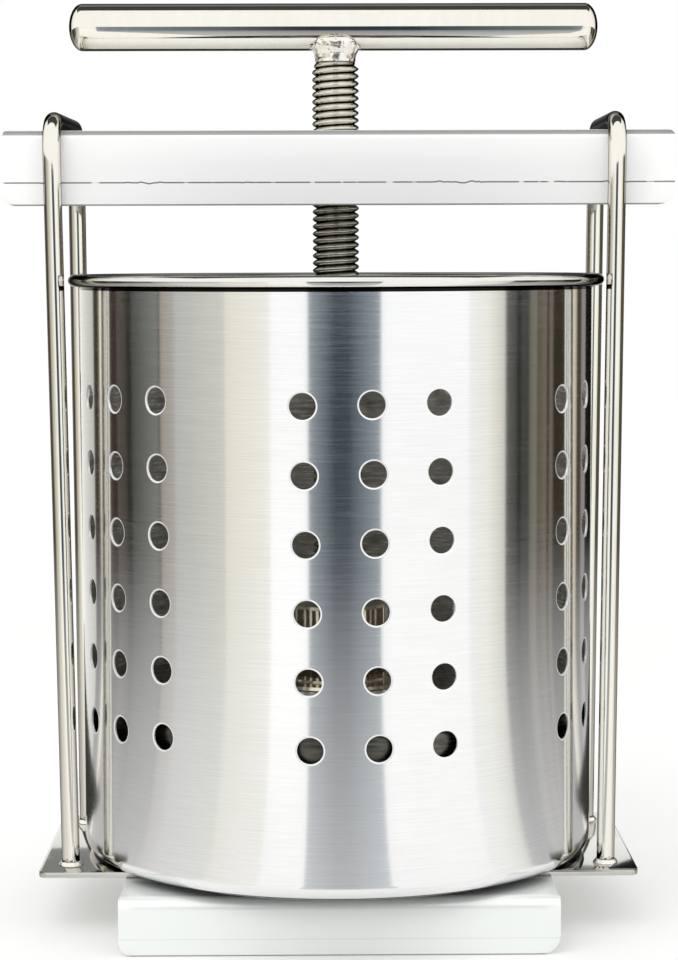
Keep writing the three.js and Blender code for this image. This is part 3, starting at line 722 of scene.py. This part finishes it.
def threadTree():
    # a sheared grid wrapped round the axis: each row of points runs along the helix
    tree, add, given = newTree("turnedThread", {
        "Int": ("Sides", "Rows", "Rows Per Turn"), "Material": ["Material"],
        "Float": ("Pitch", "Low", "High", "Core", "Depth", "Roundness", "Merge")})
    known = {name.replace(" ", ""): socket for name, socket in given.items()}
    known.update(index=add("GeometryNodeInputIndex").outputs[0], fullTurn=2 * math.pi)
    steps = ["across ADD Sides 1", "halfOn ADD index 0.5", "inRows DIVIDE halfOn Rows", "column FLOOR inRows",
             "passed MULTIPLY column Rows", "row SUBTRACT index passed", "share DIVIDE column Sides",
             "rowTurns DIVIDE row RowsPerTurn", "woundTurns ADD rowTurns share",
             "turns SUBTRACT woundTurns 1.5", "rise MULTIPLY turns Pitch", "raw ADD Low rise",
             "raised MAXIMUM raw Low", "height MINIMUM raised High"]
    # a crest in the middle of each turn, a root at its ends
    steps += ["nudged ADD rowTurns 0.001", "phase FRACT nudged", "doubled MULTIPLY phase 2",
              "centred SUBTRACT doubled 1", "fromCrest ABSOLUTE centred", "flank POWER fromCrest Roundness",
              "rounded SUBTRACT 1 flank"]
    # the thread runs out at both ends
    steps += ["above SUBTRACT raw Low", "below SUBTRACT High raw", "nearer MINIMUM above below",
              "margin DIVIDE nearer Pitch", "atLeast MAXIMUM margin 0", "fade MINIMUM atLeast 1",
              "deep MULTIPLY Depth fade", "cut MULTIPLY deep rounded", "reach ADD Core cut",
              "angle MULTIPLY share fullTurn", "cosine COSINE angle", "sine SINE angle",
              "x MULTIPLY reach cosine", "y MULTIPLY reach sine"]
    for name, operation, *values in map(str.split, steps):
        inputs = [known[value] if value in known else float(value) for value in values]
        known[name] = add("ShaderNodeMath", inputs, operation=operation).outputs[0]
    grid = add("GeometryNodeMeshGrid", [1.0, 1.0, known["across"], given["Rows"]])
    place = add("ShaderNodeCombineXYZ", [known["x"], known["y"], known["height"]])
    wound = add("GeometryNodeSetPosition", {"Geometry": grid, "Position": place})
    return closeTree(tree, given, [given["Geometry"], wound.outputs[0]], given["Merge"])


def screwEnds():
    # the plain ends: journal with its groove below, shank cut to the handle bar above
    journal, end, chamfer, groove = (screw[k] for k in ("journal", "journalEnd", "chamfer", "groove"))
    low, high = (screw["grooveHeight"] + side * screw["grooveWidth"] / 2 for side in (-1, 1))
    bottom = [(0, end), (journal - chamfer, end), (journal, end + chamfer), (journal, low), (groove, low),
              (groove, high), (journal, high), (journal, screw["shoulder"]), (screwCore, screw["shoulder"]),
              (screwCore, screw["from"])]
    points, faces = turnedMesh(bottom, screw["sides"])
    # neck: its heights are shares of the way from the thread's end to the bar's seat, which the cap follows
    neck = [(screwCore, share) for share in (0.0, 0.2, 0.4, 0.6, 0.8, 1.0)]
    neck += [(screwCore * part, 1.0) for part in (0.75, 0.5, 0.25, 0.0)]
    upper, upperFaces = turnedMesh(neck, screw["sides"])
    faces += [tuple(i + len(points) for i in face) for face in upperFaces]
    for x, y, share in upper:
        seat = screw["head"] - math.sqrt(screw["seat"] ** 2 - y ** 2)
        points.append((x, y, screw["to"] + (seat - screw["to"]) * share))
    return meshObject("screwThread", points, faces)


# turns to spare, so that the thread runs out past both ends
turns = math.ceil((screw["to"] - screw["from"]) / screw["pitch"]) + 3
screwPiece = growPiece(screwEnds(), threadTree(), {
    "Sides": screw["sides"], "Rows": screw["rowsPerTurn"] * turns, "Rows Per Turn": screw["rowsPerTurn"],
    "Pitch": screw["pitch"] * mm, "Low": screw["from"] * mm, "High": screw["to"] * mm, "Core": screwCore * mm,
    "Depth": screw["depth"] * mm, "Roundness": screw["roundness"], "Merge": screw["merge"] * mm,
    "Material": threadedSteel})
finishPiece(smoothen(screwPiece, 40), "screw", "turned_steel", "screw")
print("screw is cut:", len(screwPiece.data.polygons), "faces")


# Handle bar

handle = {  # mm
    "radius": 8, "length": 180.8, "shift": -0.6, "height": 304.2, "dome": 4.5, "domeSteps": 12,
    "lengthSteps": 30, "sides": 72,
}


def handleBar():
    radius, dome, straight = handle["radius"], handle["dome"], handle["length"] / 2 - handle["dome"]
    steps, domeSteps = handle["lengthSteps"], handle["domeSteps"]
    profile = arc(0, -straight, radius, dome, -90, 0, domeSteps)
    profile += [(radius, -straight + 2 * straight * i / steps) for i in range(1, steps)]
    profile += arc(0, straight, radius, dome, 0, 90, domeSteps)
    points, faces = turnedMesh([(0 if r < 1e-6 else r, z) for r, z in profile], handle["sides"])
    placed = [(z + handle["shift"], y, handle["height"] - x) for x, y, z in points]
    return meshObject("handleBar", placed, faces, polishedRod)


finishPiece(smoothen(handleBar()), "screw", "polished_rod", "handle_bar")
print("handle bar is turned")


# Press plate and boss

ram = {  # mm
    "plate": 84.5, "sheet": 2, "top": 76, "skirt": 12, "bend": 3, "chamfer": 0.25, "middle": 40, "sides": 96,
    "flange": 28, "flangeHeight": 4, "boss": 18, "bossTop": 106, "bossEdge": 1, "bossFoot": 0.6, "bore": 6.4,
    "boreEdge": 0.5, "bossSides": 64, "seat": 0.05,
    # grub screws: their bores, tips and hexagon sockets
    "lockHeight": 92, "lockRadius": 3, "lockTip": 2, "lockPlay": 0.3, "lockGap": 0.3, "lockShoulder": 0.6,
    "lockStart": 3, "lockDepth": 0.7, "lockChamfer": 0.4, "lockSides": 36, "boreSides": 34,
    "socket": 1.7, "socketDepth": 3.0,
    "disc": 6, "discEdge": 0.3, "discSides": 48,
}


def pressPlate():
    top, sheet, chamfer, plate, middle = (ram[k] for k in ("top", "sheet", "chamfer", "plate", "middle"))
    bottom, inner = top - ram["skirt"], ram["bend"] - sheet
    cr, cz = plate - ram["bend"], top - ram["bend"]
    profile = [(0, top - sheet), (middle, top - sheet)] + arc(cr, cz, inner, inner, 90, 0, 6)
    profile += [(plate - sheet, bottom + chamfer), (plate - sheet + chamfer, bottom)]
    profile += [(plate - chamfer, bottom), (plate, bottom + chamfer)]
    profile += arc(cr, cz, ram["bend"], ram["bend"], 0, 90, 10) + [(middle, top), (0, top)]
    return meshObject("pressPlate", *turnedMesh(profile, ram["sides"]), dullPlate)


def plateBoss():
    flange, boss, bore, end = (ram[k] for k in ("flange", "boss", "bore", "bossTop"))
    edge, foot, lead = (ram[k] for k in ("bossEdge", "bossFoot", "boreEdge"))
    bottom = ram["top"] + ram["seat"]
    top = bottom + ram["flangeHeight"]
    profile = [(0, bottom), (flange, bottom), (flange, top - edge), (flange - edge, top), (boss + foot, top)]
    profile += [(boss, top + foot), (boss, end - edge), (boss - edge, end)]
    profile += [(bore + lead, end), (bore, end - lead), (bore, top), (0, top)]
    piece = meshObject("plateBoss", *turnedMesh(profile, ram["bossSides"]), turnedSteel)
    reach = ram["lockRadius"] + ram["lockPlay"]
    cutters = []
    for side in (-1, 1):
        # a bore for the grub screw, from inside the boss's own bore to past its side
        points, faces = turnedMesh([(0, 0), (reach, 0), (reach, boss), (0, boss)], ram["boreSides"])
        placed = [(side * (z + ram["lockStart"]), x, ram["lockHeight"] + y) for x, y, z in points]
        cutters.append(meshObject("bossCutter", placed, [f if side > 0 else f[::-1] for f in faces]))
        modify(piece, "BOOLEAN", object=cutters[-1], operation="DIFFERENCE", solver="EXACT")
    return smoothen(applied(piece, *cutters))


def lockScrew(side):
    # grub screw with a hexagon socket, lying along X
    tip, outer = screw["groove"] + ram["lockGap"], ram["boss"] - ram["lockDepth"]
    narrow, wide, chamfer, sides = (ram[k] for k in ("lockTip", "lockRadius", "lockChamfer", "lockSides"))
    start = ram["bore"] + ram["lockShoulder"]
    profile = [(0, tip), (narrow, tip), (narrow, start), (wide, start + wide - narrow)]
    profile += [(wide, outer - chamfer), (wide - chamfer, outer)]
    points, faces = turnedMesh(profile, sides)
    rim = len(points) - sides
    # the hexagon, with as many points as the rim
    perSide = sides // 6
    hexagon = []
    for i in range(sides):
        corner, part = divmod(i, perSide)
        first, second = (Vector(circlePoint(60 * k, ram["socket"])) for k in (corner, corner + 1))
        hexagon.append(first.lerp(second, part / perSide))
    floor = outer - ram["socketDepth"]
    points += [(p.x, p.y, z) for z in (outer, floor) for p in hexagon] + [(0, 0, floor)]
    faces += gridFaces(3, sides, start=rim, around=True)
    last = len(points) - 1
    faces += [(last - sides + i, last - sides + (i + 1) % sides, last) for i in range(sides)]
    placed = [(side * z, side * y, ram["lockHeight"] + x) for x, y, z in points]
    label = "Left" if side < 0 else "Right"
    return smoothen(meshObject("lockScrew" + label, placed, [face[::-1] for face in faces], turnedSteel))


def thrustDisc():
    bottom = ram["top"] + ram["seat"] * 2 + ram["flangeHeight"]
    top, radius, edge = screw["journalEnd"] - ram["seat"], ram["disc"], ram["discEdge"]
    profile = [(0, bottom), (radius - edge, bottom), (radius, bottom + edge), (radius, top - edge),
               (radius - edge, top), (0, top)]
    return meshObject("thrustDisc", *turnedMesh(profile, ram["discSides"]), turnedSteel)


finishPiece(smoothen(pressPlate()), "ram", "brushed_sheet", "press_plate")
finishPiece(plateBoss(), "ram", "turned_steel", "plate_boss")
for side, name in ((-1, "left"), (1, "right")):
    finishPiece(lockScrew(side), "ram", "turned_steel", "lock_screw_" + name)
finishPiece(smoothen(thrustDisc()), "ram", "turned_steel", "thrust_disc")
print("press plate and boss are made")


# Nut

nut = {"radius": 13, "bore": 8.35, "length": 18, "top": 265.95, "chamfer": 1, "sides": 72}  # mm


def nutBush():
    radius, bore, top, c = (nut[k] for k in ("radius", "bore", "top", "chamfer"))
    bottom = top - nut["length"]
    profile = [(bore, top), (bore, bottom + c), (bore + c, bottom)]
    profile += [(radius - c, bottom), (radius, bottom + c), (radius, top), (bore, top)]
    return meshObject("nutBush", *turnedMesh(profile, nut["sides"]), turnedSteel)


finishPiece(smoothen(nutBush()), "frame", "turned_steel", "screw_nut")
print("nut is turned")


# Welds: profiles run out from a bead's inner radius and up from its base

weld = {  # mm
    "lumpDepth": 0.35, "lumpShare": 0.22,  # lumps sink in by this much at most, and by this share of the bead
    "smoothPart": 0.05, "sharpAngle": 60,  # no lumps this close to the root; edges past this stay sharp
    "foot": {
        "inner": 3.2, "base": 21.1, "sides": 56, "lumps": 1.1, "seed": 3.7,
        "profile": ((0, 0), (1.1, 0), (1.02, 0.2), (0.8, 0.45), (0.55, 0.8), (0.3, 1.1), (0.1, 1.3),
                    (0, 1.3)),
    },
    "nut": {
        "inner": nut["radius"] + seatGap, "base": nut["top"], "sides": 96, "lumps": 1.8, "seed": 11.0,
        "profile": ((0, 0), (0, -3.4), (0.45, -3.4), (0.95, -2.4), (1.5, -1.55), (2.35, -1), (3.35, -0.5),
                    (3.35, 0)),
    },
    "boss": {
        "inner": ram["flange"] + seatGap, "base": ram["top"] + ram["seat"], "sides": 128, "lumps": 1.8,
        "seed": 17.0,
        "profile": ((0, 0), (2.6, 0), (1.9, 0.45), (1.15, 1.15), (0.5, 1.9), (0, 2.6)),
    },
    "handle": {
        "inner": 6.65, "base": 292.3, "sides": 144, "between": 3,
        "coarse": 1.7, "fine": 0.7, "coarseShare": 0.45, "fineShare": 0.25, "level": 0.55,
        "lumpDepth": 0.7, "lumpShare": 0.6,
        "outline": ((7, 0), (7.1, 1.2), (7.6, 2.7), (8.5, 3.9), (9.4, 5.2), (9.7, 6.4), (9.5, 7.6),
                    (8.8, 8.3), (8.2, 8.5)),
    },
    "strip": {
        "x": foot["right"] + seatGap, "z": strip["bottom"] - seatGap, "leg": 3, "length": 70, "steps": 140,
        "ripple": 1.7, "rippleDepth": 0.08, "lump": 4, "lumpDepth": 0.05, "seed": 9,
        "profile": ((0, 0), (1, 0), (0.85, -0.12), (0.55, -0.38), (0.38, -0.55), (0.12, -0.85), (0, -1)),
    },
}


def ringBead(name, bead, number=1, centre=(0, 0)):
    # a closed ring of weld, with lumps that stay inside its profile and differ from bead to bead
    inner, lumps, profile = bead["inner"], bead["lumps"], bead["profile"]
    points = []
    for i in range(bead["sides"]):
        x, y = circlePoint(360 * i / bead["sides"])
        for out, up in profile:
            radius, z = inner + out, bead["base"] + up
            if out > weld["smoothPart"]:
                shifted = z / lumps + bead["seed"] * number
                spot = Vector((x * radius / lumps, y * radius / lumps, shifted))
                radius -= min(weld["lumpDepth"], out * weld["lumpShare"]) * (0.5 + 0.5 * noise.noise(spot))
            points.append((centre[0] + radius * x, centre[1] + radius * y, z))
    faces = gridFaces(bead["sides"], len(profile), around=True, along=True, flip=True)
    return smoothen(meshObject(name, points, faces, weldMetal), weld["sharpAngle"])


def handleWeld():
    # a lumpy bead round the neck that flares out under the bar and climbs its sides
    bead = weld["handle"]
    bore, outline, between = bead["inner"], bead["outline"], bead["between"]
    profile = [(bore, 0.0)]
    for (r1, z1), (r2, z2) in zip(outline, outline[1:]):
        profile += [(r1 + (r2 - r1) * t / between, z1 + (z2 - z1) * t / between) for t in range(between)]
    profile += [outline[-1], (bore, outline[-1][1])]
    points = []
    for i in range(bead["sides"]):
        unitX, unitY = circlePoint(360 * i / bead["sides"])
        for r, z in profile:
            spot = Vector((unitX * r, unitY * r, z))
            lump = bead["level"] + bead["coarseShare"] * noise.noise(spot / bead["coarse"])
            lump += bead["fineShare"] * noise.noise(spot / bead["fine"])
            sunk = min(bead["lumpDepth"], (r - bore) * bead["lumpShare"])
            radius = r - sunk * min(1.0, max(0.0, lump))
            x, y, height = radius * unitX, radius * unitY, bead["base"] + z
            if abs(y) < screw["seat"]:
                height = min(height, screw["head"] - math.sqrt(screw["seat"] ** 2 - y ** 2))
            points.append((x, y, height))
    faces = gridFaces(bead["sides"], len(profile), around=True, along=True, flip=True)
    return smoothen(meshObject("handleWeld", points, faces, weldMetal), weld["sharpAngle"])


def baseWeld(side):
    # fillet bead along the foot's end, under the strip, with the ripples of the hand
    bead = weld["strip"]
    leg, length, steps, count = bead["leg"], bead["length"], bead["steps"], len(bead["profile"])
    points = []
    for i in range(steps + 1):
        y = -length / 2 + length * i / steps
        wave = 0.5 + 0.5 * math.sin(y * 2 * math.pi / bead["ripple"])
        lump = 0.5 + 0.5 * noise.noise(Vector((side * bead["seed"], y / bead["lump"], 0)))
        size = leg * (1 - bead["rippleDepth"] * wave - bead["lumpDepth"] * lump)
        points += [(side * (bead["x"] + out * size), y, bead["z"] + up * size) for out, up in bead["profile"]]
    faces = gridFaces(steps + 1, count, around=True, flip=side < 0)
    first, last = tuple(range(count)), tuple(range(steps * count, steps * count + count))
    faces += [first[::-1], last] if side > 0 else [first, last[::-1]]
    name = "baseWeldLeft" if side < 0 else "baseWeldRight"
    return smoothen(meshObject(name, points, faces, weldMetal), weld["sharpAngle"])


for number, (side, depthSide) in enumerate(((-1, -1), (-1, 1), (1, -1), (1, 1))):
    label = ("left" if side < 0 else "right") + "_" + ("front" if depthSide < 0 else "rear")
    place = side * loop["footX"], depthSide * loop["halfSpacing"]
    piece = ringBead("footWeld_" + label, weld["foot"], number, place)
    finishPiece(piece, "frame", "weld_metal", "foot_weld_" + label)
finishPiece(ringBead("nutWeld", weld["nut"]), "frame", "weld_metal", "nut_weld")
finishPiece(ringBead("bossWeld", weld["boss"]), "ram", "weld_metal", "boss_weld")
finishPiece(handleWeld(), "screw", "weld_metal", "handle_weld")
for side, name in ((-1, "left"), (1, "right")):
    finishPiece(baseWeld(side), "frame", "weld_metal", "base_weld_" + name)
print("welds are laid")


# Floor, backdrop and light

studio = {
    "table": "dededc", "fibre": "dadad8", "fibreSize": 10 / 9,  # mm
    "tableRadius": 3000, "tableSides": 96, "tableDrop": 0.02,  # mm: the paper lies just under the press
    "tableLift": 0.27,  # glow that keeps the paper white to the eye
    "ringRadius": 718, "ringTop": 286,  # mm: the cards stand this far off and this high
    "apronRadius": 130,  # mm: the table shines a little, so it repeats the cards up to here
    "apronInset": 2, "cardFoot": 0.4, "apronHeight": 0.3,  # mm: where the aprons start, just over the table
    "cardFade": 55,  # mm: a card pales below this height
    "apronOuter": 0.25, "apronInner": 0.55,  # how much of a card's tone the white table hides
    "cardStep": 2,  # degrees
    # cards as azimuths from the front, growing to the right: from, to, and the colour at both ends
    "cards": (
        (-160, -132, "f4f2ec", "c8c4be"),  # pale wall behind
        (-132, -126.5, "3a3630", "2c261e"),  # dark post
        (-126.5, -124.5, "6e6a5e", "6e6a5e"),
        (-124.5, -121.5, "fff8e4", "f4ead0"),  # bright gap
        (-121.5, -114, "8c7c60", "5c4a3c"),  # brown board
        (-114, -108.5, "463a30", "241c16"),
        (-108.5, -101, "5a524a", "443f37"),
        (-101, -97.5, "302c24", "221f1a"),  # dark board
        (-97.5, -80.5, "464540", "7d7d78"),  # grey board
        (-80.5, -79.3, "4c4a46", "4c4a46"),
        (-79.3, -71.5, "a39b8f", "b2ada4"),  # taupe board
        (-71.5, -47, "bdbdba", "d6d4ca"),  # pale grey board
        (-47, -27.5, "ece9d9", "fdfaf0"),  # cream board
        (-11.8, -1, "909aa2", "323c46"),  # slate-coloured board in front
        (-1, 5, "323c46", "36424c"),
        (5, 17.6, "414d58", "929ca3"),
        (56, 66, "fcfcfa", "f8f6ea"),
        (66, 74.5, "f4f2e6", "d8d5ca"),  # linen board
        (74.5, 81, "5a5954", "444642"),  # charcoal board
        (81, 83.5, "1e1f1a", "1e1f1a"),
        (83.5, 88.5, "44433e", "383630"),
        (88.5, 93.5, "6e6a5e", "807c70"),  # taupe board
        (93.5, 100.5, "524c40", "7a7062"),
        (100.5, 102.2, "20180c", "20180c"),
        (102.2, 105.2, "786e62", "70685c"),
        (105.2, 122, "2a2416", "3c3624"),  # dark board
        (122, 128.5, "fff8e4", "a89c86"),  # bright gap
        (128.5, 134.5, "3a2e22", "4a403a"),
        (134.5, 141.5, "8e8884", "96928e"),  # pale post
        (141.5, 160, "12120e", "181816"),
    ),
    # boards overhead and behind: x from and to, y and z of the near edge and of the far edge, colour (mm)
    "boards": (
        (-620, 620, -60, 1000, 380, 1000, "464746"),
        (-620, 620, 380, 1000, 900, 900, "989a9a"),
        (-620, 620, 900, 900, 1000, 300, "9a9b9a"),
        (-230, 230, 110, 0.5, 680, 0.5, "34342f"),
        (-700, -260, 450, 290, 450, 950, "1c1a16"),
        (260, 700, 450, 290, 450, 950, "1c1a16"),
    ),
    "white": 1.12,  # level of the white room in the steel
    "softbox": {"place": (-0.55, -1.1, 1.5), "size": 1.2, "power": 8},
}


def buildTable():
    # white paper, matt, with faint fibres
    count, drop = studio["tableSides"], -studio["tableDrop"]
    rim = [(*circlePoint(360 * i / count, studio["tableRadius"]), drop) for i in range(count)]
    faces = [(0, 1 + i, 1 + (i + 1) % count) for i in range(count)]
    material, add = clearNodes(bpy.data.materials.new("paper_white_matt"))
    place = add("ShaderNodeTexCoord").outputs["Object"]
    scale = 1 / (studio["fibreSize"] * mm)
    fibres = add("ShaderNodeTexNoise", {"Vector": place, "Scale": scale, "Detail": 2.0})
    tones = {0: fibres, 6: linear(studio["table"]), 7: linear(studio["fibre"])}
    tone = add("ShaderNodeMix", tones, data_type="RGBA").outputs[2]
    ray = add("ShaderNodeLightPath").outputs
    eye = add("ShaderNodeMath", [ray["Is Camera Ray"], ray["Is Glossy Ray"]], operation="ADD")
    seen = add("ShaderNodeMath", [eye, ray["Is Transmission Ray"]], operation="ADD", use_clamp=True)
    lift = add("ShaderNodeMath", [seen, studio["tableLift"]], operation="MULTIPLY")
    shader = add("ShaderNodeBsdfPrincipled", {
        "Base Color": tone, "Roughness": 0.9, "Emission Color": (1, 1, 1, 1), "Emission Strength": lift})
    add("ShaderNodeOutputMaterial", [shader])
    meshObject("table", [(0, 0, drop)] + rim, faces, material)


def buildCards():
    # one ring of cards: each is a strip that stands on the table, with an apron that fades towards the press
    material, add = clearNodes(bpy.data.materials.new("card_painted_matt"))
    paint = add("ShaderNodeVertexColor", layer_name="paint")
    shader = add("ShaderNodeBsdfPrincipled", {
        "Base Color": (0, 0, 0, 1), "Specular IOR Level": 0.0,
        "Emission Color": paint, "Emission Strength": 1.0})
    add("ShaderNodeOutputMaterial", [shader])
    ring, hidden = studio["ringRadius"], studio["apronOuter"]
    flat = studio["apronHeight"]
    rows = ((ring, studio["ringTop"], 0.0), (ring, studio["cardFade"], 0.0),
            (ring, studio["cardFoot"], hidden), (ring - studio["apronInset"], flat, hidden),
            (studio["apronRadius"], flat, studio["apronInner"]))
    points, faces, paints = [], [], []
    for start, end, first, last in studio["cards"]:
        steps = max(1, round((end - start) / studio["cardStep"]))
        faces += gridFaces(steps + 1, len(rows), start=len(points))
        for i in range(steps + 1):
            x, y = circlePoint(start + (end - start) * i / steps - 90)
            tone = [a + (b - a) * i / steps for a, b in zip(linear(first), linear(last))]
            for radius, height, pale in rows:
                points.append((radius * x, radius * y, height))
                paints += [c + (1 - c) * pale for c in tone[:3]] + [1.0]
    for left, right, nearY, nearZ, farY, farZ, colour in studio["boards"]:
        faces.append(tuple(range(len(points), len(points) + 4)))
        points += [(left, nearY, nearZ), (right, nearY, nearZ), (right, farY, farZ), (left, farY, farZ)]
        paints += linear(colour) * 4
    cards = meshObject("cards", points, faces, material)
    cards.data.color_attributes.new("paint", "FLOAT_COLOR", "POINT").data.foreach_set("color", paints)
    # the steel sees the cards, and neither the camera nor the light on the table does
    cards.visible_camera = False
    cards.visible_diffuse = False
    cards.visible_shadow = False


def buildRoom():
    # a plain white room
    world, add = clearNodes(bpy.data.worlds.new("room"))
    bpy.context.scene.world = world
    ray = add("ShaderNodeLightPath").outputs
    straight = [ray["Is Camera Ray"], ray["Is Transmission Ray"]]
    eye = add("ShaderNodeMath", straight, operation="ADD", use_clamp=True)
    steel = add("ShaderNodeMath", [ray["Is Glossy Ray"], studio["white"]], operation="MULTIPLY")
    plain = add("ShaderNodeMath", [eye, 1.0], operation="MAXIMUM")
    level = add("ShaderNodeMath", [plain, steel], operation="MAXIMUM")
    back = add("ShaderNodeBackground", {"Color": (1, 1, 1, 1), "Strength": level})
    add("ShaderNodeOutputWorld", [back])


def addSoftbox():
    box = studio["softbox"]
    data = bpy.data.lights.new("softbox", "AREA")
    data.size = box["size"]
    data.energy = box["power"]
    lamp = bpy.data.objects.new("softbox", data)
    lamp.location = box["place"]
    lamp.rotation_euler = (-Vector(box["place"])).to_track_quat("-Z", "Y").to_euler()
    lamp.visible_glossy = False
    bpy.context.scene.collection.objects.link(lamp)


buildTable()
buildCards()
buildRoom()
addSoftbox()
bpy.context.scene.view_settings.view_transform = "Standard"
print("room is lit")
